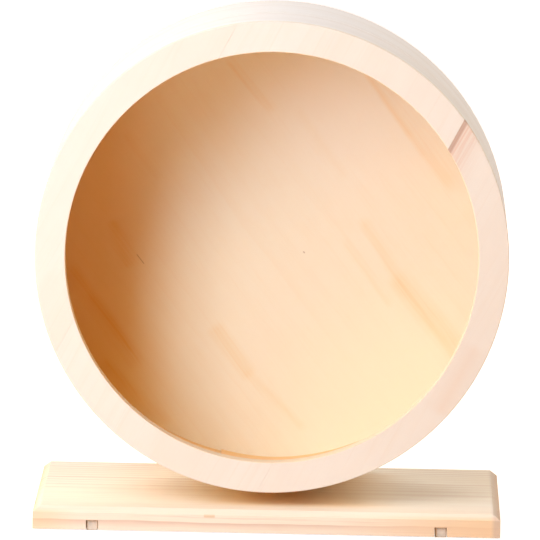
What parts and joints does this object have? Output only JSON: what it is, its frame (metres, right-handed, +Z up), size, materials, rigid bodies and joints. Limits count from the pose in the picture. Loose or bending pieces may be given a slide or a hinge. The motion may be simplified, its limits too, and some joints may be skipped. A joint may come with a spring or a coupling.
{
  "type": "rodent exercise wheel",
  "caption": "Wooden rodent exercise wheel: an open-fronted bent-wood drum with a flat front rim, turning on ball bearings carried by a rear upright on a bevelled base board.",
  "frame": {"origin": "middle of the base's outline, on the plane that the foot strips stand on", "axes": "+Z up, +X to the right seen from the open front, +Y from the open front towards the upright, along the axle"},
  "size_m": [0.21, 0.136, 0.2265],
  "materials": {
    "rim_pine": "sanded, unvarnished",
    "bent_wood": "sanded, unvarnished",
    "track_veneer": "sanded, unvarnished",
    "back_panel": "sanded, unvarnished",
    "board_pine": "sanded, unvarnished",
    "hub_wood": "sanded, unvarnished",
    "bearing_steel": "ground",
    "zinc_steel": "zinc plated",
    "foot_rubber": "matt"
  },
  "bodies": {
    "stand": {"base_board": "board_pine", "upright_board": "board_pine", "upright_dowels": "hub_wood", "upright_screws": "zinc_steel", "foot_strip_left": "foot_rubber", "foot_strip_right": "foot_rubber", "axle_bolt": "zinc_steel", "axle_spacer": "zinc_steel", "axle_washer": "zinc_steel", "axle_nut": "zinc_steel", "front_bearing_inner_ring": "bearing_steel", "rear_bearing_inner_ring": "bearing_steel"},
    "wheel": {"front_ring_left_board": "rim_pine", "front_ring_middle_board": "rim_pine", "front_ring_right_board": "rim_pine", "front_hoop": "bent_wood", "rear_hoop": "bent_wood", "track_liner": "track_veneer", "back_disc": "back_panel", "hub_block": "hub_wood", "front_bearing_outer_ring": "bearing_steel", "front_bearing_shields": "bearing_steel", "rear_bearing_outer_ring": "bearing_steel", "rear_bearing_shields": "bearing_steel", "bearing_retainer": "zinc_steel", "retainer_screws": "zinc_steel", "hub_screws": "zinc_steel"},
    "ball_sets": {"front_bearing_balls": "bearing_steel", "front_bearing_cage": "bearing_steel", "rear_bearing_balls": "bearing_steel", "rear_bearing_cage": "bearing_steel"}
  },
  "joints": [
    {"name": "wheel_spin", "type": "hinge", "parent": "stand", "child": "wheel", "pos_m": [0, 0, 0.1215], "axis": [0, 1, 0], "continuous": true},
    {"name": "cage_spin", "type": "hinge", "parent": "stand", "child": "ball_sets", "pos_m": [0, 0, 0.1215], "axis": [0, 1, 0], "continuous": true}
  ],
  "couplings": [
    {"joint": "cage_spin", "follows": "wheel_spin", "ratio": 0.6323}
  ]
}
